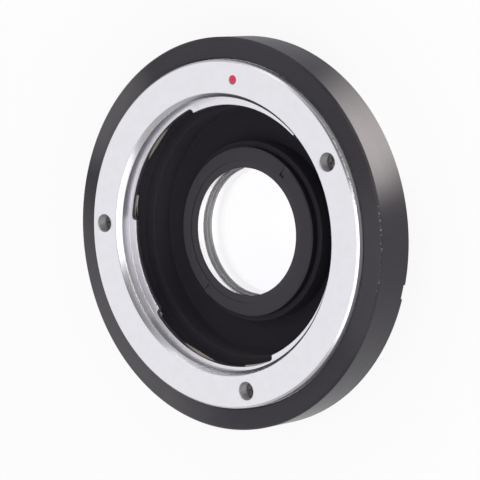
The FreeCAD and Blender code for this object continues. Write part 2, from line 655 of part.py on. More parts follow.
def spanner_slots(body, outside, low):
    """Two slots for a spanner, cut across the whole ring from the given height upwards."""
    slots = body.newObject("PartDesign::SubtractiveBox", "SpannerSlots")
    attach(slots, body)
    slots.AttachmentOffset = FreeCAD.Placement(
        FreeCAD.Vector(), FreeCAD.Rotation(FreeCAD.Vector(0, 0, 1), value_of("spanner_slot_angle")))
    angle, side = "spanner_slot_angle", "spanner_slot_width / 2"
    bind(slots, Length=f"2 * {outside}", Width="spanner_slot_width", Height="spanner_slot_depth",
         AttachmentOffset__Rotation__Angle=angle,
         AttachmentOffset__Base__x=f"-{outside} * cos({angle}) + {side} * sin({angle})",
         AttachmentOffset__Base__y=f"-{outside} * sin({angle}) - {side} * cos({angle})",
         AttachmentOffset__Base__z=low)


def make_front_retaining_ring():
    """Threaded ring over the front lens, with a thin bevelled edge round the opening."""
    keeper = new_body("front_retaining_ring")
    turn(keeper, "Turning", (
        ("front_aperture + keeper_bevel", "front_glass_front"),
        ("keeper_radius", "front_glass_front"),
        ("keeper_radius", "front_glass_front + front_keeper_rim"),
        ("front_aperture", "front_glass_front + front_keeper_edge"),
        ("front_aperture", "front_glass_front + front_keeper_edge / 2"),
    ))
    return keeper


def make_rear_retaining_ring():
    """Threaded ring behind the rear lens, with two slots for a spanner."""
    keeper = new_body("rear_retaining_ring")
    turn(keeper, "Turning", (
        ("rear_aperture + keeper_bevel", "cell_back"),
        ("keeper_radius", "cell_back"),
        ("keeper_radius", "rear_glass_back"),
        ("rear_aperture", "rear_glass_back"),
        ("rear_aperture", "cell_back + keeper_bevel"),
    ))
    spanner_slots(keeper, "keeper_radius", "cell_back")
    return keeper


def make_lens(label, front, back, front_bulge, back_bulge, opening):
    """Round lens with a ground edge and a flat land at the rim of each face."""
    lens = new_body(label)
    clear = f"{opening} - glass_land"
    turn(lens, "Turning", (
        ("0", f"{back} - ({back_bulge})"),
        (clear, back),
        ("glass_radius", back),
        ("glass_radius", front),
        (clear, front),
        ("0", f"{front} + {front_bulge}"),
    ), curved=(0, 4))
    return lens


make_body()
make_lens_bayonet_ring()
for number, angle in enumerate(RING_SCREW_ANGLES, start=1):
    make_ring_screw(number, angle)
for number, angle in enumerate(SPRING_ANGLES, start=1):
    make_leaf_spring(number, angle)
make_stop_pin()
make_dot("lens_index_dot", "dot_circle", "90", "face - dot_depth")
make_camera_bayonet()
for number in range(BAYONET_SCREWS):
    make_bayonet_screw(number)
make_dot("camera_index_dot", "bayonet_screw_circle", "camera_dot_angle", "bayonet_reach + dot_sink")
make_lens_cell()
make_front_retaining_ring()
make_rear_retaining_ring()
make_lens("front_lens", "front_glass_front", "shoulder_front",
          "front_glass_crown", "-front_glass_hollow", "front_aperture")
make_lens("rear_lens", "shoulder_back", "rear_glass_back",
          "-rear_glass_hollow", "rear_glass_crown", "shoulder_radius")
doc.recompute()

for item in doc.Objects:
    if "Invalid" in item.State or "Error" in item.State:
        raise RuntimeError(f"{item.Label} did not compute: {item.State}")

pieces = [item for item in doc.Objects if item.TypeId == "PartDesign::Body"]
pieces += [doc.getObject(f"leaf_spring_{number}") for number in range(1, len(SPRING_ANGLES) + 1)]
os.makedirs("parts", exist_ok=True)
for piece in pieces:
    if piece.Shape.isNull() or not piece.Shape.isValid() or len(piece.Shape.Solids) != 1:
        raise RuntimeError(f"{piece.Label} is not one valid solid")
for piece in pieces:
    piece.Shape.exportStep(os.path.join("parts", piece.Label + ".step"))
    print(piece.Label, round(piece.Shape.Volume, 2), "mm3")
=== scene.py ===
import math

import bmesh
import bpy
from mathutils import Matrix, Vector


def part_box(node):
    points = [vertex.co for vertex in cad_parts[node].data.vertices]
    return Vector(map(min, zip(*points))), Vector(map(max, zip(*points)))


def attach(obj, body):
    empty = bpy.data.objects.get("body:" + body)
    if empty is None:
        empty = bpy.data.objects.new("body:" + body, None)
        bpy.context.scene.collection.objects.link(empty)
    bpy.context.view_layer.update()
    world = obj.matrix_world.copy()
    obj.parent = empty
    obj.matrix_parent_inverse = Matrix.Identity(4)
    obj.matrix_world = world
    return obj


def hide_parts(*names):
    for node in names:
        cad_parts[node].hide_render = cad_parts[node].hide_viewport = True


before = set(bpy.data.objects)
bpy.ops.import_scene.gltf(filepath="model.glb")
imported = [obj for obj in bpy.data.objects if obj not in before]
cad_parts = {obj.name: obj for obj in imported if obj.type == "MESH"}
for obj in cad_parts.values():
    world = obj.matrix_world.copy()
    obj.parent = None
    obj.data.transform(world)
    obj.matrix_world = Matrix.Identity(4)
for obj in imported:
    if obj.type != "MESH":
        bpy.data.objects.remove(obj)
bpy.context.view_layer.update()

# Body. One turning of aluminium, anodised black. Its band keeps the fine rings that the lathe
# left, its front has a seat for the lens bayonet ring, and its inside is a matte well with a
# floor and a boss that carries the optical cell. The camera side has a recess for the flange.

MM = 0.001


def node_radius(node):
    """Outer radius of a round CAD node on the main axis, in millimetres."""
    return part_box(node)[1].x / MM


def node_low(node):
    """Height of a CAD node's lowest point, in millimetres."""
    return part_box(node)[0].z / MM


def node_high(node):
    """Height of a CAD node's highest point, in millimetres."""
    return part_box(node)[1].z / MM


body_radius = node_radius("body")
body_back = node_low("body")
body_front = node_high("body")
front_chamfer = 0.37
rear_chamfer = 0.25
ring_seat_radius = body_radius - 3.75
ring_back = node_low("lens_bayonet_ring")
register_radius = node_radius("lens_bayonet_ring") - 6.6
chamber_radius = register_radius + 0.5
chamber_ledge = ring_back - 3.68
spring_step_radius = chamber_radius + 1.05
spring_step_floor = ring_back - 0.32
throat_radius = chamber_radius - 2.3
well_floor = body_back + 1.3
cell_bore = node_radius("lens_cell") - 0.8
boss_radius = cell_bore + 1.75
boss_top = well_floor + 3.5
hub_radius = chamber_radius + 0.65
flange_front = node_high("camera_bayonet")
flange_seat_radius = body_radius - 2.05
rear_rim = flange_front - 1.5
lock_angle = 352.5
lock_width = 2.6
lock_notch_depth = 0.65

# Cutters reach this far beyond the piece that they cut.
overcut = 1


def piece_tree(name, inputs):
    """Geometry tree with named inputs, its input sockets and the socket for its result."""
    tree = bpy.data.node_groups.new(name, "GeometryNodeTree")
    for label, kind in inputs:
        tree.interface.new_socket(label, in_out="INPUT", socket_type="NodeSocket" + kind)
    tree.interface.new_socket("Result", in_out="OUTPUT", socket_type="NodeSocketGeometry")
    given = tree.nodes.new("NodeGroupInput").outputs
    return tree, given, tree.nodes.new("NodeGroupOutput").inputs["Result"]


def chained(tree, *kinds):
    """Adds geometry nodes of these kinds to a tree and joins each one's mesh to the next."""
    chain = [tree.nodes.new("GeometryNode" + kind) for kind in kinds]
    for node, following in zip(chain, chain[1:]):
        tree.links.new(node.outputs[0], following.inputs[0])
    return chain


def point_value(tree, name):
    """The value that each point of a geometry tree's mesh carries under this name."""
    node = tree.nodes.new("GeometryNodeInputNamedAttribute")
    node.inputs["Name"].default_value = name
    return node.outputs["Attribute"]


# An outline is swept along a circle of this radius, so it is drawn this far inside its place.
SWEEP_RADIUS = 10 * MM


def turning_tree():
    """Geometry nodes that round an outline's corners and turn it about the main axis."""
    tree, given, result = piece_tree("turning_tree", (
        ("Outline", "Geometry"), ("Segments", "Int"), ("Corner Steps", "Int"),
        ("Finish", "Material")))
    outline, corners = chained(tree, "MeshToCurve", "FilletCurve")
    corners.mode = "POLY"
    circle, upright, sweep, poles, _, finish = chained(
        tree, "CurvePrimitiveCircle", "SetCurveNormal", "CurveToMesh", "MergeByDistance",
        "RealizeInstances", "SetMaterial")
    circle.inputs["Radius"].default_value = SWEEP_RADIUS
    upright.mode = "Z_UP"
    poles.inputs["Distance"].default_value = 0.0001 * MM
    tree.links.new(given["Outline"], outline.inputs["Mesh"])
    tree.links.new(given["Corner Steps"], corners.inputs["Count"])
    tree.links.new(point_value(tree, "rounding"), corners.inputs["Radius"])
    tree.links.new(given["Segments"], circle.inputs["Resolution"])
    tree.links.new(corners.outputs["Curve"], sweep.inputs["Profile Curve"])
    tree.links.new(given["Finish"], finish.inputs["Material"])
    tree.links.new(finish.outputs["Geometry"], result)
    return tree


def settled(piece):
    """Keeps what a piece's modifiers make as its plain mesh, and drops the modifiers."""
    seen = piece.evaluated_get(bpy.context.evaluated_depsgraph_get())
    mesh = bpy.data.meshes.new_from_object(seen)
    piece.modifiers.clear()
    piece.data = mesh
    return piece


def link_object(name, data):
    """New object in the scene."""
    piece = bpy.data.objects.new(name, data)
    bpy.context.scene.collection.objects.link(piece)
    return piece


def grown(name, points, edges, attribute, numbers, maker, values):
    """Piece that a geometry tree makes from points, each with a number, and edges.

    The tree's other inputs are set by name, and its result becomes the piece's mesh."""
    mesh = bpy.data.meshes.new(name)
    mesh.from_pydata(points, edges, [])
    mesh.attributes.new(attribute, "FLOAT", "POINT").data.foreach_set("value", numbers)
    piece = link_object(name, mesh)
    tree = bpy.data.node_groups.get(maker.__name__) or maker()
    modifier = piece.modifiers.new(maker.__name__, "NODES")
    modifier.node_group = tree
    for socket in tree.interface.items_tree:
        if socket.in_out == "INPUT" and socket.name in values:
            modifier[socket.identifier] = values[socket.name]
    return settled(piece)


def turned(name, outline, material, rounding=0.06, segments=256, corner_steps=3):
    """Round piece from (radius, height) points, anticlockwise; a third value rounds one corner.

    Corners on the axis stay sharp, and the outline is open where it runs along the axis."""
    points = [(*point, rounding if point[0] else 0)[:3] for point in reversed(outline)]
    edges = [(start, end) for start, end in enumerate([*range(1, len(points)), 0])
             if points[start][0] or points[end][0]]
    return grown(name, [(r * MM - SWEEP_RADIUS, -z * MM, 0) for r, z, _ in points], edges,
                 "rounding", [corner * MM for _, _, corner in points], turning_tree,
                 {"Segments": segments, "Corner Steps": corner_steps, "Finish": material})


def from_shape(name, shape, place=Matrix.Identity(4)):
    """Object from a bmesh, moved to its place, with its faces outwards."""
    shape.transform(place)
    bmesh.ops.recalc_face_normals(shape, faces=shape.faces)
    if shape.calc_volume(signed=True) < 0:
        bmesh.ops.reverse_faces(shape, faces=shape.faces)
    mesh = bpy.data.meshes.new(name)
    shape.to_mesh(mesh)
    shape.free()
    return link_object(name, mesh)


def on_circle(radius, angle, height=0):
    """Place on a circle about the main axis; its X axis then points outwards."""
    return (Matrix.Rotation(math.radians(angle), 4, "Z")
            @ Matrix.Translation(Vector((radius, 0, height)) * MM))


def block(near, far, width, low, high, place):
    """Bar along X between two distances, centred on Y."""
    shape = bmesh.new()
    bmesh.ops.create_cube(shape, size=MM)
    middle = Matrix.Translation(Vector(((near + far) / 2, 0, (low + high) / 2)) * MM)
    return from_shape("block", shape, place @ middle
                      @ Matrix.Diagonal((far - near, width, high - low, 1)))


def combine(piece, others, operation="DIFFERENCE"):
    """Cuts other objects out of a piece, or joins them to it, and removes them."""
    for other in others:
        modifier = piece.modifiers.new("cut", "BOOLEAN")
        modifier.operation = operation
        modifier.solver = "EXACT"
        modifier.material_mode = "TRANSFER" if other.data.materials else "INDEX"
        modifier.object = other
    settled(piece)
    for other in others:
        bpy.data.objects.remove(other)


def polish(piece, edge=0.0, sharp_angle=35):
    """Breaks the edges that a cut left, and shades the piece smooth between its sharp edges."""
    mesh = piece.data
    mesh.polygons.foreach_set("use_smooth", [True] * len(mesh.polygons))
    if edge:
        bevel = piece.modifiers.new("edges", "BEVEL")
        bevel.width = edge * MM
        bevel.segments = 2
        bevel.limit_method = "ANGLE"
        bevel.angle_limit = math.radians(sharp_angle)
        settled(piece)
    piece.data.set_sharp_from_angle(angle=math.radians(sharp_angle))
    normals = piece.modifiers.new("normals", "WEIGHTED_NORMAL")
    normals.keep_sharp = True
    return settled(piece)


def finished(piece, slot, *nodes):
    """Puts a piece in the model: it rides on the body and stands for these CAD nodes."""
    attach(piece, "root")
    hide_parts(*nodes)


def effect(name, inputs, output):
    """Empty shader node group with numbers as inputs and one output, and its end sockets."""
    group = bpy.data.node_groups.new(name, "ShaderNodeTree")
    for label, value in inputs:
        socket = group.interface.new_socket(label, in_out="INPUT", socket_type="NodeSocketFloat")
        socket.default_value = value
    group.interface.new_socket(output, in_out="OUTPUT", socket_type="NodeSocketFloat")
    given = group.nodes.new("NodeGroupInput").outputs
    result = group.nodes.new("NodeGroupOutput").inputs[output]
    return group, given, result


def feed(tree, socket, value):
    """Links a value to a socket, or sets a plain number on it."""
    if isinstance(value, bpy.types.NodeSocket):
        tree.links.new(value, socket)
    else:
        socket.default_value = value


def calculate(tree, operation, *values):
    """Result of a maths node on one or two values."""
    node = tree.nodes.new("ShaderNodeMath")
    node.operation = operation
    for socket, value in zip(node.inputs, values):
        feed(tree, socket, value)
    return node.outputs["Value"]


def ramp(tree, value, start, end, low=0.0, high=1.0):
    """Smooth step of a value between two limits."""
    node = tree.nodes.new("ShaderNodeMapRange")
    node.interpolation_type = "SMOOTHSTEP"
    for label, number in (("Value", value), ("From Min", start), ("From Max", end),
                          ("To Min", low), ("To Max", high)):
        feed(tree, node.inputs[label], number)
    return node.outputs["Result"]


def spread(tree, value, low=0.0, high=1.0):
    """Noise, most of which lies between 0.3 and 0.7, stretched over a whole range."""
    return ramp(tree, value, 0.3, 0.7, low, high)


def ramp_mm(tree, place, start, end, low=0.0, high=1.0):
    """Smooth step of a radius or height between two limits in millimetres."""
    return ramp(tree, place, start * MM, end * MM, low, high)


def noise(tree, vector, scale, detail, w=None):
    """Smooth noise between 0 and 1, in three dimensions or with a fourth."""
    node = tree.nodes.new("ShaderNodeTexNoise")
    if w is not None:
        node.noise_dimensions = "4D"
        feed(tree, node.inputs["W"], w)
    feed(tree, node.inputs["Vector"], vector)
    feed(tree, node.inputs["Scale"], scale)
    feed(tree, node.inputs["Detail"], detail)
    return node.outputs["Fac"]


def object_place(tree):
    """The shaded point, from the object's origin."""
    return tree.nodes.new("ShaderNodeTexCoord").outputs["Object"]


def axis_place(tree):
    """Distance from the main axis, height, and the cosine and sine of the angle round it."""
    parts = tree.nodes.new("ShaderNodeSeparateXYZ")
    tree.links.new(object_place(tree), parts.inputs["Vector"])
    x, y, z = parts.outputs
    squares = calculate(tree, "ADD", calculate(tree, "MULTIPLY", x, x),
                        calculate(tree, "MULTIPLY", y, y))
    radius = calculate(tree, "SQRT", squares)
    return radius, z, calculate(tree, "DIVIDE", x, radius), calculate(tree, "DIVIDE", y, radius)


def towards_side(tree, cosine, sine, side_cosine, side_sine):
    """How far a point's angle round the axis faces a side, from 1 there to -1 across from it."""
    return calculate(tree, "ADD", calculate(tree, "MULTIPLY", cosine, side_cosine),
                     calculate(tree, "MULTIPLY", sine, side_sine))


def lathe_marks():
    """Fine rings about the main axis, as a turning tool leaves them, with no seam."""
    group, given, result = effect("lathe_marks", (("Rings per mm", 8), ("Run", 1)), "Rings")
    radius, height, cosine, sine = axis_place(group)
    per_metre = calculate(group, "DIVIDE", given["Rings per mm"], MM)
    unrolled = group.nodes.new("ShaderNodeCombineXYZ")
    feed(group, unrolled.inputs["X"], calculate(group, "MULTIPLY", radius, per_metre))
    feed(group, unrolled.inputs["Y"], calculate(group, "MULTIPLY", height, per_metre))
    feed(group, unrolled.inputs["Z"], calculate(group, "MULTIPLY", cosine, given["Run"]))
    rings = noise(group, unrolled.outputs["Vector"], 1, 3,
                  w=calculate(group, "MULTIPLY", sine, given["Run"]))
    group.links.new(rings, result)
    return group


def surface_grain():
    """Even fine grain of a blasted, plated or painted surface."""
    group, given, result = effect("surface_grain", (("Grains per mm", 12),), "Grain")
    scale = calculate(group, "DIVIDE", given["Grains per mm"], MM)
    group.links.new(noise(group, object_place(group), scale, 2), result)
    return group


def fine_scratches():
    """Short thin scratches in three directions, as a mask.

    Each is a line where stretched noise passes one level, kept in a few patches only."""
    group, given, result = effect(
        "fine_scratches", (("Scratches per mm", 0.35), ("Amount", 0.5)), "Scratch")
    place = object_place(group)
    scale = calculate(group, "DIVIDE", given["Scratches per mm"], MM)
    line_level, line_width = 0.62, 0.012
    scratch = 0.0
    for angle, lengthening in ((25, 18), (78, 26), (141, 22)):
        lean = group.nodes.new("ShaderNodeMapping")
        lean.inputs["Rotation"].default_value = (0, 0, math.radians(angle))
        lean.inputs["Scale"].default_value = (1, lengthening, 1)
        group.links.new(place, lean.inputs["Vector"])
        streak = noise(group, lean.outputs["Vector"], scale, 0)
        off_line = calculate(group, "ABSOLUTE",
                             calculate(group, "SUBTRACT", streak, line_level))
        patch = noise(group, lean.outputs["Vector"], calculate(group, "MULTIPLY", scale, 0.3), 1)
        thin = calculate(group, "MULTIPLY", ramp(group, off_line, line_width, 0.0),
                         ramp(group, patch, 0.52, 0.62))
        scratch = calculate(group, "MAXIMUM", thin, scratch)
    group.links.new(calculate(group, "MULTIPLY", scratch, given["Amount"]), result)
    return group


def worn_specks():
    """Tiny chips along one round edge, given by its radius and height, on its worn side."""
    group, given, result = effect(
        "worn_specks", (("Edge Radius", 30), ("Edge Height", 10), ("Width", 0.3),
                        ("Worn Side", 0.0)), "Speck")
    radius, height, cosine, sine = axis_place(group)
    off_edge = [calculate(group, "ABSOLUTE", calculate(
        group, "SUBTRACT", calculate(group, "DIVIDE", place, MM), given[label]))
        for place, label in ((radius, "Edge Radius"), (height, "Edge Height"))]
    near = ramp(group, calculate(group, "ADD", *off_edge), given["Width"], 0)
    chips = noise(group, object_place(group), 2.6 / MM, 3)
    facing = towards_side(group, cosine, sine, calculate(group, "COSINE", given["Worn Side"]),
                          calculate(group, "SINE", given["Worn Side"]))
    patch = ramp(group, noise(group, object_place(group), 0.4 / MM, 1), 0.35, 0.65, 0.3, 0.4)
    chance = calculate(group, "MULTIPLY", near, calculate(
        group, "MULTIPLY", patch, ramp(group, facing, 0.94, 0.995)))
    group.links.new(ramp(group, calculate(group, "ADD", chips, chance), 0.88, 0.94), result)
    return group


def finish_material(name, colour, roughness, metallic=0.0, **sockets):
    """Material whose Principled shader has its plain values on its own sockets."""
    material = bpy.data.materials.new(name)
    material.use_nodes = True
    shader = material.node_tree.nodes["Principled BSDF"].inputs
    shader["Base Color"].default_value = (*colour, 1)
    shader["Roughness"].default_value = roughness
    shader["Metallic"].default_value = metallic
    for socket, value in sockets.items():
        shader[socket.replace("_", " ")].default_value = value
    return material, material.node_tree, shader


def use_effect(tree, maker, **values):
    """Places a shared effect in a material with its own values, and gives its one output."""
    node = tree.nodes.new("ShaderNodeGroup")
    node.node_tree = bpy.data.node_groups.get(maker.__name__) or maker()
    for label, value in values.items():
        feed(tree, node.inputs[label.replace("_", " ")], value)
    return node.outputs[0]


def blend(tree, share, first, second):
    """Colour between two others; either may be a plain colour or another node's."""
    node = tree.nodes.new("ShaderNodeMix")
    node.data_type = "RGBA"
    feed(tree, node.inputs["Factor"], share)
    for socket, colour in ((node.inputs[6], first), (node.inputs[7], second)):
        feed(tree, socket, colour if isinstance(colour, bpy.types.NodeSocket) else (*colour, 1))
    return node.outputs[2]


def grained_colour(tree, grain, first, second):
    """Two close colours, mixed by a surface's grain."""
    return blend(tree, spread(tree, grain), first, second)


def relief(tree, shader, *layers):
    """Chained bumps; each layer is a height, its strength and its depth in millimetres."""
    normal = None
    for height, strength, depth in layers:
        bump = tree.nodes.new("ShaderNodeBump")
        bump.inputs["Strength"].default_value = strength
        bump.inputs["Distance"].default_value = depth * MM
        tree.links.new(height, bump.inputs["Height"])
        if normal:
            tree.links.new(normal, bump.inputs["Normal"])
        normal = bump.outputs["Normal"]
    tree.links.new(normal, shader["Normal"])


def painted_front_sheen(tree, height, cosine, sine):
    """Painted highlight on the body's front: paler soft clouds towards three sides, standing in for
    the sheen of its satin.
    """
    cloud = spread(tree, noise(tree, object_place(tree), 0.12 / MM, 2), 0.75, 1.0)
    sheen_sides = 0.0
    for side, reach, amount in ((225, 0.55, 1.15), (149, 0.92, 1.25), (0, 0.85, 0.3)):
        turn = math.radians(side)
        facing = towards_side(tree, cosine, sine, math.cos(turn), math.sin(turn))
        sheen_sides = calculate(tree, "MAXIMUM", sheen_sides, ramp(tree, facing, reach, 1.0, 0, amount))
    front = ramp_mm(tree, height, body_front - 0.1, body_front)
    return calculate(tree, "MULTIPLY", sheen_sides, calculate(tree, "MULTIPLY", cloud, front))


def black_anodised():
    """Outside satin, with lathe rings, a few worn specks and a painted highlight on the front; the
    well is flat black.
    """
    material, tree, shader = finish_material(
        "black_anodised", (0.016, 0.014, 0.019), 0.4, IOR=1.45, Anisotropic=0.9,
        Anisotropic_Rotation=0.25, Specular_Tint=(0.99, 0.95, 1, 1), Coat_Roughness=0.2,
        Coat_IOR=1.4)
    tangent = tree.nodes.new("ShaderNodeTangent")
    tangent.direction_type = "RADIAL"
    tangent.axis = "Z"
    tree.links.new(tangent.outputs["Tangent"], shader["Tangent"])
    radius, height, cosine, sine = axis_place(tree)
    inside = ramp_mm(tree, radius, ring_seat_radius - 0.2, ring_seat_radius - 0.3)
    band = ramp_mm(tree, height, body_front - 0.3, body_front - 0.5)
    rings = use_effect(tree, lathe_marks, Rings_per_mm=9, Run=2)
    grain = use_effect(tree, surface_grain, Grains_per_mm=5)
    scratch = use_effect(tree, fine_scratches, Scratches_per_mm=0.3, Amount=0.6)
    speck = use_effect(tree, worn_specks, Edge_Radius=body_radius - 0.2,
                       Edge_Height=body_front - 0.2, Width=0.6, Worn_Side=math.radians(7))
    sealed = calculate(tree, "MULTIPLY", calculate(tree, "SUBTRACT", band, inside), 0.4)
    tree.links.new(sealed, shader["Coat Weight"])
    satin = spread(tree, rings, 0.37, 0.45)
    flat_well = calculate(tree, "MULTIPLY", inside, 0.85)
    tree.links.new(calculate(tree, "MAXIMUM", satin, flat_well), shader["Roughness"])
    outer = grained_colour(tree, grain, (0.014, 0.012, 0.016), (0.02, 0.017, 0.023))
    # Painted highlight: the front face turns paler towards three sides, in soft clouds.
    front_sheen_paint = painted_front_sheen(tree, height, cosine, sine)
    outer = blend(tree, front_sheen_paint, outer, (0.075, 0.07, 0.078))
    colour = blend(tree, inside, outer, (0.02, 0.017, 0.025))
    colour = blend(tree, scratch, colour, (0.05, 0.05, 0.055))
    colour = blend(tree, speck, colour, (0.2, 0.16, 0.17))
    tree.links.new(colour, shader["Base Color"])
    relief(tree, shader, (rings, 0.25, 0.02), (grain, 0.12, 0.02))
    return material


body = turned("body_shell", (
    (cell_bore, body_back),
    (hub_radius, body_back),
    (hub_radius, flange_front, 0.02),
    (flange_seat_radius, flange_front, 0.02),
    (flange_seat_radius, rear_rim),
    (body_radius - rear_chamfer, rear_rim, 0.05),
    (body_radius, rear_rim + rear_chamfer, 0.05),
    (body_radius, body_front - front_chamfer, 0.1),
    (body_radius - front_chamfer, body_front, 0.1),
    (ring_seat_radius, body_front, 0.2),
    (ring_seat_radius, ring_back, 0.02),
    (spring_step_radius, ring_back, 0.02),
    (spring_step_radius, spring_step_floor, 0.02),
    (chamber_radius, spring_step_floor, 0.05),
    (chamber_radius, chamber_ledge, 0.15),
    (throat_radius, chamber_ledge, 0.15),
    (throat_radius, well_floor, 0.5),
    (boss_radius, well_floor, 0.2),
    (boss_radius, boss_top, 0.2),
    (cell_bore, boss_top, 0.05),
), black_anodised(), segments=360)
lock_notch = block(flange_seat_radius - 0.5, body_radius + overcut, lock_width,
                   rear_rim - overcut, rear_rim + lock_notch_depth, on_circle(0, lock_angle))
combine(body, [lock_notch])
polish(body, edge=0.04)
finished(body, "black_anodised", "body")

# Leaf springs and stop pin. Three thin bronze strips lie between body and ring and press on the
# lens's lugs. A short steel pin in the lug chamber stops the lens when it is turned home.


def dull_metal(name, colour, darker, roughness):
    """Bare metal with a soft grain and slight darkening."""
    material, tree, shader = finish_material(name, colour, roughness, metallic=1.0)
    grain = use_effect(tree, surface_grain, Grains_per_mm=4)
    tree.links.new(grained_colour(tree, grain, colour, darker), shader["Base Color"])
    tree.links.new(spread(tree, grain, roughness - 0.06, roughness + 0.06), shader["Roughness"])
    relief(tree, shader, (grain, 0.1, 0.02))
    return material


def dress(node, material):
    """Gives a CAD piece that keeps its own shape a finish."""
    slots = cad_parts[node].data.materials
    slots.clear()
    slots.append(material)


bronze = dull_metal("spring_bronze", (0.38, 0.335, 0.29), (0.31, 0.27, 0.235), 0.38)
for number in (1, 2, 3):
    dress(f"leaf_spring_{number}", bronze)
pin_steel = dull_metal("pin_steel", (0.3, 0.3, 0.31), (0.24, 0.24, 0.25), 0.3)
dress("rotation_stop_pin", pin_steel)

# Lens bayonet ring. Brass, turned, milled and satin-chromed: a flat face, a bevelled register bore
# and three unequal tabs behind it, with milled openings between them. Three screws hold it from
# the front, deep in round recesses, and a narrow groove parts it from the body's front.

ring_radius = node_radius("lens_bayonet_ring")
ring_face = node_high("lens_bayonet_ring")
proud_radius = ring_radius - 0.15
groove_floor = body_front - 0.6
ring_chamfer = 0.35
bevel_width = 0.75
bevel_depth = 1.0
tab_face = ring_face - 2.95
opening_radius = register_radius - 0.55
opening_corner = 0.8
tab_radius = opening_radius - 0.95
opening_inner = tab_radius - 2
OPENINGS = ((118.8, 65.1), (227.1, 73.5), (358.0, 60.0))
RING_SCREW_ANGLES = (36.5, 185.6, 288.9)
ring_screw_circle = ring_radius - 3.1
screw_seat = ring_face - 2.7
screw_hole_radius = 1.1
head_hole_radius = 1.6
lens_dot_angle = 90
lens_dot_circle = ring_radius - 3.4
dot_radius = 0.8
dot_depth = 0.35


def satin_chrome():
    """Plating with a satin face and a smoother bevel; bore wall and outer wall are duller."""
    material, tree, shader = finish_material("satin_chrome", (0.78, 0.77, 0.81), 0.34, metallic=1.0)
    rings = use_effect(tree, lathe_marks, Rings_per_mm=12, Run=1)
    grain = use_effect(tree, surface_grain, Grains_per_mm=0.6)
    scratch = use_effect(tree, fine_scratches, Scratches_per_mm=0.2, Amount=0.3)
    speck = use_effect(tree, worn_specks, Edge_Radius=proud_radius, Edge_Height=ring_face - 0.3,
                       Width=0.6, Worn_Side=math.radians(32))
    colour = grained_colour(tree, grain, (0.77, 0.76, 0.8), (0.79, 0.78, 0.825))
    colour = blend(tree, scratch, colour, (0.9, 0.9, 0.9))
    colour = blend(tree, speck, colour, (0.16, 0.15, 0.15))
    tree.links.new(colour, shader["Base Color"])
    radius, height = axis_place(tree)[:2]
    smooth, satin, dull = 0.25, 0.31, 0.48
    face = ramp_mm(tree, height, ring_face - 0.05, ring_face - 0.02, smooth, satin)
    below_bevel = ramp_mm(tree, height, ring_face - 0.98, ring_face - 1.08)
    bore = calculate(tree, "MULTIPLY", below_bevel,
                     ramp_mm(tree, height, tab_face + 0.1, tab_face + 0.2, satin, dull))
    outer_wall = calculate(
        tree, "MULTIPLY", ramp_mm(tree, radius, proud_radius - 0.1, proud_radius - 0.05),
        ramp_mm(tree, height, ring_face - 0.33, ring_face - 0.38, 0, dull))
    roughness = calculate(tree, "MAXIMUM", calculate(tree, "MAXIMUM", face, bore), outer_wall)
    tree.links.new(calculate(tree, "ADD", roughness, spread(tree, rings, 0, 0.05)),
                   shader["Roughness"])
    relief(tree, shader, (rings, 0.04, 0.01))
    return material


def drill(bottom, face, place, wall_material, edge=0.06):
    """Cutter for a hole with this stepped bottom, which also breaks the edge at the face."""
    radius = bottom[-1][0]
    bit = turned("drill", (*bottom, (radius, face - edge),
                           (radius + edge + overcut, face + overcut), (0, face + overcut)),
                 wall_material, rounding=0, segments=64)
    bit.data.transform(place)
    return bit


def opening_cutter(start, span, corner_steps=8, wall_steps=60, inner_steps=40):
    """Sector out to the openings' wall, with an arc in each of its two outer corners."""
    corner_turn = math.degrees(opening_corner / (opening_radius - opening_corner))
    outline = [(opening_inner, start)]
    for step in range(corner_steps + 1):
        turn = math.pi / 2 * step / corner_steps
        outline.append((opening_radius - opening_corner * (1 - math.sin(turn)),
                        start + corner_turn * (1 - math.cos(turn))))
    arc_back = [(radius, 2 * start + span - angle) for radius, angle in outline[:0:-1]]
    middle = span - 2 * corner_turn
    outline += [(opening_radius, start + corner_turn + middle * step / wall_steps)
                for step in range(1, wall_steps)]
    outline += arc_back
    outline += [(opening_inner, start + span * (1 - step / inner_steps))
                for step in range(inner_steps)]
    shape = bmesh.new()
    low = [shape.verts.new(on_circle(radius, angle, ring_back - overcut).translation)
           for radius, angle in outline]
    shape.faces.new(low)
    walls = bmesh.ops.extrude_face_region(shape, geom=shape.faces[:])
    top = [item for item in walls["geom"] if isinstance(item, bmesh.types.BMVert)]
    bmesh.ops.translate(shape, verts=top, vec=(0, 0, (tab_face - ring_back + overcut) * MM))
    return from_shape("opening", shape)


chrome = satin_chrome()
ring = turned("bayonet_ring", (
    (tab_radius, ring_back, 0.08),
    (ring_radius, ring_back, 0.08),
    (ring_radius, groove_floor, 0.05),
    (proud_radius, groove_floor, 0.02),
    (proud_radius, ring_face - ring_chamfer, 0.05),
    (proud_radius - ring_chamfer, ring_face, 0.05),
    (register_radius + bevel_width, ring_face, 0.3),
    (register_radius, ring_face - bevel_depth, 0.1),
    (register_radius, tab_face, 0.12),
    (tab_radius, tab_face, 0.2),
), chrome, segments=360, corner_steps=4)
combine(ring, [opening_cutter(start, span) for start, span in OPENINGS])
polish(ring, edge=0.05)
drilled_wall = dull_metal("drilled_wall", (0.5, 0.49, 0.5), (0.44, 0.43, 0.44), 0.6)
dot_floor = ring_face - dot_depth
drills = [drill(((0, dot_floor), (dot_radius, dot_floor)), ring_face,
                on_circle(lens_dot_circle, lens_dot_angle), drilled_wall, edge=0.03)]
screw_hole = ((0, ring_back - overcut), (screw_hole_radius, ring_back - overcut),
              (screw_hole_radius, screw_seat), (head_hole_radius, screw_seat))
drills += [drill(screw_hole, ring_face, on_circle(ring_screw_circle, angle), drilled_wall)
           for angle in RING_SCREW_ANGLES]
combine(ring, drills)
polish(ring)
finished(ring, "satin_chrome", "lens_bayonet_ring")

# Ring screws. Three small pan-head screws of blackened steel with a cross recess. They stand
# well below the ring's face, so that the lens's flange lies flat.

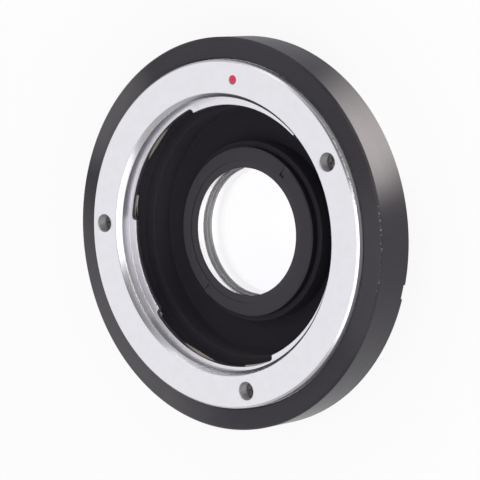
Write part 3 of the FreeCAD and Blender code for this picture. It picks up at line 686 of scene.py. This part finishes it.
screw_end = node_low("ring_screw_1")
screw_head = node_high("ring_screw_1")
head_radius = 1.5
thread_radius = 0.95
tip_radius = 0.75
tip_length = 0.25


def places_tree():
    """Geometry nodes that set one piece at each point, turned about Z by the point's angle."""
    tree, given, result = piece_tree("places_tree", (
        ("Places", "Geometry"), ("Piece", "Object"), ("Finish", "Material")))
    pattern = tree.nodes.new("GeometryNodeObjectInfo")
    about_axis = tree.nodes.new("ShaderNodeCombineXYZ")
    setting, _, finish = chained(tree, "InstanceOnPoints", "RealizeInstances", "SetMaterial")
    tree.links.new(given["Places"], setting.inputs["Points"])
    tree.links.new(given["Piece"], pattern.inputs["Object"])
    tree.links.new(pattern.outputs["Geometry"], setting.inputs["Instance"])
    tree.links.new(point_value(tree, "turn"), about_axis.inputs["Z"])
    tree.links.new(about_axis.outputs["Vector"], setting.inputs["Rotation"])
    tree.links.new(given["Finish"], finish.inputs["Material"])
    tree.links.new(finish.outputs["Geometry"], result)
    return tree


def set_round(name, pattern, circle, angles, material):
    """Copies of a pattern piece round a circle, each turned outwards, in one mesh."""
    piece = grown(name, [on_circle(circle, angle).translation for angle in angles], [],
                  "turn", [math.radians(angle) for angle in angles], places_tree,
                  {"Piece": pattern, "Finish": material})
    bpy.data.objects.remove(pattern)
    return piece


def cross_recess(low, high, length=1.7, width=0.4):
    """The two bars that a cross-head driver needs, to cut out of a screw's head."""
    return [block(-length / 2, length / 2, width, low, high, Matrix.Rotation(turn, 4, "Z"))
            for turn in (0, math.pi / 2)]


screw_steel = dull_metal("screw_steel", (0.28, 0.27, 0.28), (0.23, 0.22, 0.23), 0.6)
screw = turned("ring_screw", (
    (0, screw_end),
    (tip_radius, screw_end, 0.05),
    (thread_radius, screw_end + tip_length, 0.05),
    (thread_radius, screw_seat, 0.05),
    (head_radius, screw_seat, 0.08),
    (head_radius, screw_head, 0.3),
    (0, screw_head),
), screw_steel, segments=64)
combine(screw, cross_recess(screw_head - 0.3, screw_head + overcut))
ring_screws = set_round("ring_screws", screw, ring_screw_circle, RING_SCREW_ANGLES, screw_steel)
polish(ring_screws)
finished(ring_screws, "screw_steel", "ring_screw_1", "ring_screw_2", "ring_screw_3")

# Index dots. Red enamel, dropped into a shallow drilled hole and baked, so that it stands a
# little rounded in the metal. One is on the lens side and one on the camera side.


def red_enamel():
    """Glossy enamel with uneven depth of colour."""
    material, tree, shader = finish_material("red_enamel", (0.62, 0.02, 0.035), 0.18, IOR=1.5)
    grain = use_effect(tree, surface_grain, Grains_per_mm=3)
    tree.links.new(blend(tree, ramp(tree, grain, 0.35, 0.65), (0.72, 0.03, 0.1),
                         (0.5, 0.012, 0.05)), shader["Base Color"])
    relief(tree, shader, (grain, 0.25, 0.06))
    return material


def enamel_drop(name, material, place, floor, face, outwards):
    """Drop of enamel in its hole; outwards is 1 on the lens side and -1 on the camera side."""
    brim = dot_radius - 0.01
    crown = outwards * 0.05
    points = [(0, floor), (brim, floor, 0.02), (brim, face - crown, 0.02),
              (brim * 0.6, face - crown / 10, 0.2), (0, face)]
    drop = turned(name, points if outwards > 0 else points[::-1], material, segments=48)
    drop.data.transform(place)
    return polish(drop)


enamel = red_enamel()
lens_dot = enamel_drop("lens_dot", enamel, on_circle(lens_dot_circle, lens_dot_angle),
                       node_low("lens_index_dot"), node_high("lens_index_dot"), outwards=1)
finished(lens_dot, "red_enamel", "lens_index_dot")

# Optical cell. A black turned barrel with an inner shoulder between its two lenses. It screws
# into the boss by two slots in its rim, and hides the boss's bore under that rim.

cell_rim_radius = node_radius("lens_cell")
cell_radius = cell_rim_radius - 0.85
cell_front = node_high("lens_cell")
cell_back = node_low("lens_cell")
rim_edge = cell_front - 0.3
glass_radius = node_radius("front_lens")
keeper_radius = node_radius("front_retaining_ring")
shoulder_radius = glass_radius - 0.4
front_glass_seat = node_low("front_lens")
front_glass_edge = node_low("front_retaining_ring")
rear_glass_seat = front_glass_seat - 0.45
rear_glass_edge = node_high("rear_retaining_ring")
keeper_relief = 0.25
glass_bore = glass_radius + 0.05
keeper_bore = keeper_radius + 0.05
spanner_angle = 57.5


def matte_black():
    """Dull black; the rim's edge is smoother, and the bore behind the front glass is paler."""
    material, tree, shader = finish_material("matte_black", (0.014, 0.012, 0.017), 0.6, IOR=1.55,
                                             Specular_Tint=(0.97, 0.9, 1, 1))
    rings = use_effect(tree, lathe_marks, Rings_per_mm=7, Run=2)
    grain = use_effect(tree, surface_grain, Grains_per_mm=6)
    radius, height = axis_place(tree)[:2]
    behind_glass = calculate(
        tree, "MULTIPLY", ramp_mm(tree, radius, glass_radius + 0.2, glass_radius + 0.1),
        ramp_mm(tree, height, front_glass_seat + 0.2, front_glass_seat + 0.1))
    rim = ramp_mm(tree, radius, cell_rim_radius - 0.3, cell_rim_radius - 0.2)
    smoother = calculate(tree, "MAXIMUM", behind_glass, rim)
    tree.links.new(ramp(tree, smoother, 0, 1, 0.58, 0.3), shader["Roughness"])
    colour = grained_colour(tree, grain, (0.013, 0.011, 0.016), (0.019, 0.017, 0.023))
    colour = blend(tree, behind_glass, colour, (0.3, 0.28, 0.305))
    tree.links.new(colour, shader["Base Color"])
    relief(tree, shader, (rings, 0.1, 0.02), (grain, 0.1, 0.02))
    return material


def spanner_slots(near, far, low, high, width=1.1):
    """Cutters for two slots across from each other, in which a spanner turns a ring."""
    return [block(near, far, width, low, high, on_circle(0, spanner_angle + half_turn))
            for half_turn in (0, 180)]


cell_black = matte_black()
cell = turned("optical_cell", (
    (keeper_bore, cell_back),
    (cell_radius, cell_back, 0.1),
    (cell_radius, boss_top, 0.02),
    (cell_rim_radius, boss_top, 0.04),
    (cell_rim_radius, rim_edge - 0.15, 0.05),
    (cell_rim_radius - 0.3, rim_edge, 0.1),
    (keeper_bore, cell_front, 0),
    (keeper_bore, front_glass_edge - keeper_relief, 0.02),
    (glass_bore, front_glass_edge - keeper_relief, 0.02),
    (glass_bore, front_glass_seat, 0.02),
    (shoulder_radius, front_glass_seat, 0.04),
    (shoulder_radius, rear_glass_seat, 0.04),
    (glass_bore, rear_glass_seat, 0.02),
    (glass_bore, rear_glass_edge + keeper_relief, 0.02),
    (keeper_bore, rear_glass_edge + keeper_relief, 0.02),
), cell_black)
combine(cell, spanner_slots(keeper_radius + 0.5, cell_rim_radius + overcut, cell_front - 0.35,
                            cell_front + overcut))
polish(cell, edge=0.03)
finished(cell, "matte_black", "lens_cell")

# Lenses. Two ground and polished lenses of the correction optic, with coated faces. Their edges
# are left ground. The front one's shows as a pale rim, and the rear one's is blackened.

front_opening = glass_radius - 0.64
rear_opening = glass_radius - 0.6
glass_land = 0.2
seat_gap = 0.01


def optical_glass():
    """Clear glass with the faintest unevenness of its coating."""
    material, tree, shader = finish_material("optical_glass", (1, 1, 1), 0.0, IOR=1.52,
                                             Transmission_Weight=1.0)
    grain = use_effect(tree, surface_grain, Grains_per_mm=0.05)
    tree.links.new(grained_colour(tree, grain, (1, 1, 1), (0.985, 0.98, 1)), shader["Base Color"])
    return material


def ground_glass():
    """The same glass where it is finely ground."""
    material, tree, shader = finish_material("ground_glass_edge", (0.98, 0.97, 0.95), 0.2,
                                             IOR=1.52, Transmission_Weight=1.0)
    grain = use_effect(tree, surface_grain, Grains_per_mm=8)
    tree.links.new(grained_colour(tree, grain, (0.97, 0.96, 0.94), (1, 0.99, 0.97)),
                   shader["Base Color"])
    relief(tree, shader, (grain, 0.08, 0.02))
    return material


def blackened_glass():
    """A ground edge that is painted dark."""
    material, tree, shader = finish_material("blackened_glass_edge", (0.2, 0.19, 0.2), 0.6)
    grain = use_effect(tree, surface_grain, Grains_per_mm=6)
    tree.links.new(blend(tree, grain, (0.17, 0.16, 0.17), (0.23, 0.22, 0.23)),
                   shader["Base Color"])
    return material


def face_arc(opening, rim_height, bulge, steps=14):
    """Points of a lens face from its rim in to the axis, on a sphere; bulge is its rise in Z."""
    sphere = (opening ** 2 + bulge ** 2) / (2 * abs(bulge))
    for step in range(steps + 1):
        radius = opening * (1 - step / steps)
        fall = sphere - math.sqrt(sphere ** 2 - radius ** 2)
        yield radius, rim_height + bulge - math.copysign(fall, bulge), 0


def lens(name, low, high, opening, back_bulge, front_bulge, face_material, edge_material):
    """Lens with a ground edge between two polished faces, a hair clear of its seats."""
    low, high = low + seat_gap, high - seat_gap
    back = list(face_arc(opening, low, back_bulge))[::-1]
    front = list(face_arc(opening, high, front_bulge))
    piece = turned(name, (*back, (glass_radius, low, 0.08), (glass_radius, high, 0.08), *front),
                   face_material)
    piece.data.materials.append(edge_material)
    for face in piece.data.polygons:
        if math.hypot(face.center.x, face.center.y) > (glass_radius - 0.04) * MM:
            face.material_index = 1
    return polish(piece)


glass = optical_glass()
front_lens = lens("front_lens_glass", front_glass_seat, front_glass_edge,
                  front_opening - glass_land, 0.35, 0.45, glass, ground_glass())
finished(front_lens, "optical_glass", "front_lens")
rear_lens = lens("rear_lens_glass", rear_glass_edge, rear_glass_seat,
                 rear_opening - glass_land, -0.2, -0.2, glass, blackened_glass())
finished(rear_lens, "optical_glass", "rear_lens")

# Retaining rings. Thin black threaded rings that hold a lens from the front and from the back.
# The rear one has two slots for a spanner.

keeper_thread = keeper_radius + 0.04
keeper_chamfer = 0.3
front_keeper_face = node_high("front_retaining_ring")
front_keeper_lip = front_glass_edge + 0.45
rear_keeper_back = node_low("rear_retaining_ring")
rear_slot_floor = rear_keeper_back + 0.45

front_keeper = turned("front_keeper", (
    (front_opening + keeper_chamfer, front_glass_edge, 0.03),
    (keeper_thread, front_glass_edge, 0.05),
    (keeper_thread, front_keeper_face, 0),
    (front_opening, front_keeper_lip, 0.08),
    (front_opening, front_glass_edge + keeper_chamfer, 0.05),
), cell_black)
polish(front_keeper)
finished(front_keeper, "matte_black", "front_retaining_ring")
rear_keeper = turned("rear_keeper", (
    (rear_opening, rear_keeper_back + keeper_chamfer, 0.05),
    (rear_opening + keeper_chamfer, rear_keeper_back, 0.05),
    (keeper_thread, rear_keeper_back, 0.06),
    (keeper_thread, rear_glass_edge, 0.05),
    (rear_opening, rear_glass_edge, 0.03),
), cell_black)
combine(rear_keeper, spanner_slots(keeper_radius - 0.55, keeper_radius + overcut,
                                   rear_keeper_back - overcut, rear_slot_floor))
polish(rear_keeper, edge=0.02)
finished(rear_keeper, "matte_black", "rear_retaining_ring")

# Camera bayonet. Brass, turned and milled in one piece and satin-chromed like the front ring: a
# flange plate, a spigot and three lugs of equal width. A slot takes the camera's lock pin.

spigot_bore = hub_radius + 0.05
spigot_radius = spigot_bore + 1.65
spigot_root = spigot_radius - 0.3
spigot_chamfer = 0.4
bore_chamfer = 0.2
lug_radius = spigot_radius + 1.75
lug_back = rear_rim - 3.8
lug_front = rear_rim - 2.1
lug_chamfer = 0.5
LUG_STARTS = (65, 185, 305)
lug_span = 50
flange_radius = flange_seat_radius - 0.05
lock_circle = lug_radius + 0.9
BAYONET_SCREW_ANGLES = (60, 150, 240, 330)
bayonet_screw_circle = flange_radius - 2.1
countersink_radius = 1.65
countersink_depth = 0.76
camera_dot_angle = 30


def sector(outline, start, span, steps=40):
    """Piece of a turning between two angles, from (radius, height) points."""
    shape = bmesh.new()
    section = [shape.verts.new(on_circle(r, start, z).translation) for r, z in outline]
    shape.faces.new(section)
    bmesh.ops.spin(shape, geom=shape.faces[:], angle=math.radians(span), steps=steps,
                   axis=(0, 0, 1), cent=(0, 0, 0))
    bmesh.ops.remove_doubles(shape, verts=shape.verts, dist=0.0001 * MM)
    return from_shape("sector", shape)


def cylinder(radius, low, high, place, top_radius=None):
    """Round bar or cone along Z."""
    shape = bmesh.new()
    bmesh.ops.create_cone(shape, cap_ends=True, segments=64, radius1=radius * MM,
                          radius2=(radius if top_radius is None else top_radius) * MM,
                          depth=(high - low) * MM)
    return from_shape("bar", shape, place @ Matrix.Translation((0, 0, (low + high) / 2 * MM)))


bayonet = turned("camera_bayonet_ring", (
    (spigot_bore + bore_chamfer, 0, 0.05),
    (spigot_radius - spigot_chamfer, 0, 0.08),
    (spigot_radius, spigot_chamfer, 0.08),
    (spigot_radius, rear_rim, 0.15),
    (flange_radius, rear_rim, 0.08),
    (flange_radius, flange_front, 0.05),
    (spigot_bore, flange_front, 0.05),
    (spigot_bore, bore_chamfer, 0.05),
), chrome, segments=360)
lug_outline = ((spigot_root, lug_back), (lug_radius - lug_chamfer, lug_back),
               (lug_radius, lug_back + lug_chamfer), (lug_radius, lug_front),
               (spigot_root, lug_front))
combine(bayonet, [sector(lug_outline, start, lug_span) for start in LUG_STARTS], "UNION")
through = (rear_rim - overcut, flange_front + overcut)

# A countersink's cone starts a hair below the rim, so that the two share no plane.
hair = 0.001

cutters = [
    block(lock_circle, body_radius + overcut, lock_width, *through, on_circle(0, lock_angle)),
    cylinder(lock_width / 2, *through, on_circle(lock_circle, lock_angle)),
    cylinder(dot_radius, rear_rim - overcut, rear_rim + dot_depth,
             on_circle(bayonet_screw_circle, camera_dot_angle))]
for angle in BAYONET_SCREW_ANGLES:
    spot = on_circle(bayonet_screw_circle, angle)
    cutters.append(cylinder(screw_hole_radius, *through, spot))
    cutters.append(cylinder(countersink_radius, rear_rim - hair, rear_rim + countersink_depth,
                            spot, top_radius=screw_hole_radius))
combine(bayonet, cutters)
polish(bayonet, edge=0.05)
bayonet.data.materials.clear()
bayonet.data.materials.append(chrome)
finished(bayonet, "satin_chrome", "camera_bayonet")

# Rear screws and index dot. Four countersunk screws hold the camera bayonet to the body. A second
# red dot shows where the adapter goes into the camera.

rear_head = rear_rim + 0.06
rear_head_depth = 0.7
rear_screw_end = node_high("bayonet_screw_1")
rear_screw = turned("bayonet_screw", (
    (0, rear_head),
    (head_radius, rear_head, 0.06),
    (thread_radius, rear_head + rear_head_depth, 0.05),
    (thread_radius, rear_screw_end - tip_length, 0.05),
    (tip_radius, rear_screw_end, 0.05),
    (0, rear_screw_end),
), screw_steel, segments=64)
combine(rear_screw, cross_recess(rear_head - overcut, rear_head + 0.45))
rear_screws = set_round("bayonet_screws", rear_screw, bayonet_screw_circle,
                        BAYONET_SCREW_ANGLES, screw_steel)
polish(rear_screws, edge=0.02)
finished(rear_screws, "screw_steel", *[f"bayonet_screw_{number}" for number in (1, 2, 3, 4)])
camera_dot = enamel_drop("camera_dot", enamel, on_circle(bayonet_screw_circle, camera_dot_angle),
                         node_high("camera_index_dot"), node_low("camera_index_dot"), outwards=-1)
finished(camera_dot, "red_enamel", "camera_index_dot")

# Camera. It looks down on the adapter as it lies, from the photograph's angle, rolled so that the
# index dot is at the top of the picture.

camera_distance = 433.5 * MM
camera_roll = math.radians(-97.2)


def direction(azimuth, elevation):
    """Unit vector towards a point of the sky."""
    flat, rise = math.radians(azimuth), math.radians(elevation)
    return Vector((math.cos(rise) * math.cos(flat), math.cos(rise) * math.sin(flat),
                   math.sin(rise)))


aim = Vector((4.7, -0.04, ring_face)) * MM
towards_camera = direction(15.67, 49.33)
camera_data = bpy.data.cameras.new("camera")
camera_data.sensor_width = 36
camera_data.lens = 187.5
camera_data.clip_start = 0.01
camera = link_object("camera", camera_data)
camera.matrix_world = (Matrix.Translation(aim + towards_camera * camera_distance)
                       @ towards_camera.to_track_quat("Z", "Y").to_matrix().to_4x4()
                       @ Matrix.Rotation(camera_roll, 4, "Z"))
bpy.context.scene.camera = camera

# Table. White paper, which keeps a little of its shading so that the soft shadow shows. It is
# plain white behind the object and through its glass. Bright metal sees it with a painted shade on
# one side and a painted pool of light, a glow that no lamp casts.

floor_half = 3.0
plain_share = 0.86
# Colours of the glow that metal sees: a painted shade on one side and a painted pool of light.
painted_shade_colour = (0.55, 0.55, 0.58)
painted_pool_colour = (8.2, 7.8, 7.4)
painted_pool_centre = (0.0445, 0.033, 0)


def measured(tree, operation, vector, fixed):
    """Distance or dot product between a vector and a fixed one."""
    node = tree.nodes.new("ShaderNodeVectorMath")
    node.operation = operation
    node.inputs[1].default_value = fixed
    tree.links.new(vector, node.inputs[0])
    return node.outputs["Value"]


def white_paper():
    """Paper under the lamps, and a glow for the rays that should see it white; in metal it has a
    painted shade and a painted pool of light.
    """
    material = bpy.data.materials.new("white_paper")
    material.use_nodes = True
    tree = material.node_tree
    tree.nodes.clear()
    ray = tree.nodes.new("ShaderNodeLightPath").outputs
    from_metal = calculate(tree, "MULTIPLY", ray["Is Glossy Ray"],
                           calculate(tree, "SUBTRACT", 1.0, ray["Is Transmission Ray"]))
    place = tree.nodes.new("ShaderNodeSeparateXYZ")
    tree.links.new(object_place(tree), place.inputs["Vector"])
    # Painted shade and painted pool of light, seen only in metal: the glow is dimmer on the +Y side
    # and much brighter in one patch there.
    painted_shade_side = ramp(tree, place.outputs["Y"], -0.035, 0.0)
    painted_pool_cut = ramp(tree, place.outputs["Y"], 0.012, 0.024)
    off_patch = measured(tree, "DISTANCE", object_place(tree), painted_pool_centre)
    painted_light_pool = ramp(tree, off_patch, 0.035, 0.006)
    lit = calculate(tree, "MULTIPLY", calculate(tree, "MULTIPLY", painted_light_pool, painted_pool_cut), from_metal)
    dimmed = blend(tree, calculate(tree, "MULTIPLY", from_metal, painted_shade_side), (1, 1, 1), painted_shade_colour)
    glow = tree.nodes.new("ShaderNodeEmission")
    feed(tree, glow.inputs["Color"], blend(tree, lit, dimmed, painted_pool_colour))
    in_metal_or_glass = calculate(tree, "MAXIMUM", ray["Is Glossy Ray"],
                                  ray["Is Transmission Ray"])
    plain_to_camera = calculate(tree, "MULTIPLY", ray["Is Camera Ray"], plain_share)
    paper = tree.nodes.new("ShaderNodeBsdfDiffuse")
    paper.inputs["Color"].default_value = (0.9, 0.9, 0.9, 1)
    mixed = tree.nodes.new("ShaderNodeMixShader")
    feed(tree, mixed.inputs["Fac"],
         calculate(tree, "MAXIMUM", in_metal_or_glass, plain_to_camera))
    tree.links.new(paper.outputs["BSDF"], mixed.inputs[1])
    tree.links.new(glow.outputs["Emission"], mixed.inputs[2])
    output = tree.nodes.new("ShaderNodeOutputMaterial")
    tree.links.new(mixed.outputs["Shader"], output.inputs["Surface"])
    return material


floor_mesh = bpy.data.meshes.new("floor")
floor_mesh.from_pydata([(x * floor_half, y * floor_half, 0)
                        for x, y in ((-1, -1), (1, -1), (1, 1), (-1, 1))], [], [(0, 1, 2, 3)])
floor = link_object("floor", floor_mesh)
floor.data.materials.append(white_paper())

# Light. A white room, which metal sees with one bright side and a darker corner. A low lamp beyond
# the index dot draws the highlight on the band together with the paper's painted pool of light, a
# broad soft box stands beside the camera, and a small one on the far side.

room_level = 0.75

world = bpy.data.worlds.new("white_room")
bpy.context.scene.world = world
world.use_nodes = True
sky = world.node_tree
ray = sky.nodes.new("ShaderNodeLightPath").outputs
ray_way = sky.nodes.new("ShaderNodeTexCoord").outputs["Generated"]
to_bright_side = measured(sky, "DOT_PRODUCT", ray_way, direction(196, 45))
to_dark_corner = measured(sky, "DOT_PRODUCT", ray_way, direction(52, 33))
bright_side = ramp(sky, to_bright_side, 0.45, 0.85, 0.48, 1.01)
dark_corner = ramp(sky, to_dark_corner, 0.82, 0.96, 0.0, 0.35)
reflected = calculate(sky, "SUBTRACT", bright_side, dark_corner)
in_metal = calculate(sky, "MULTIPLY", ray["Is Glossy Ray"],
                     calculate(sky, "SUBTRACT", reflected, room_level))
room = calculate(sky, "ADD", in_metal, room_level)
seen_plain = calculate(sky, "MAXIMUM", ray["Is Camera Ray"], ray["Is Transmission Ray"])
unseen = calculate(sky, "SUBTRACT", 1.0, seen_plain)
strength = calculate(sky, "ADD", seen_plain, calculate(sky, "MULTIPLY", room, unseen))
sky.links.new(strength, sky.nodes["Background"].inputs["Strength"])
sky.nodes["Background"].inputs["Color"].default_value = (1, 1, 1, 1)


def soft_box(name, azimuth, elevation, distance, width, height, power, colour=(1, 1, 1)):
    """Rectangular lamp that faces the object."""
    data = bpy.data.lights.new(name, "AREA")
    data.shape = "RECTANGLE"
    data.size, data.size_y, data.energy = width, height, power
    data.color = colour
    lamp = link_object(name, data)
    outwards = direction(azimuth, elevation)
    lamp.location = outwards * distance
    lamp.rotation_euler = outwards.to_track_quat("Z", "Y").to_euler()


soft_box("lamp_beyond_dot", azimuth=45, elevation=5, distance=0.5, width=0.45, height=0.07,
         power=1.2, colour=(1, 0.97, 0.94))
soft_box("lamp_by_camera", azimuth=-14, elevation=38, distance=0.8, width=1.15, height=0.45,
         power=2.5)
soft_box("lamp_far_side", azimuth=117, elevation=24, distance=0.8, width=0.45, height=0.3,
         power=0.45)

bpy.context.scene.view_settings.view_transform = "Standard"
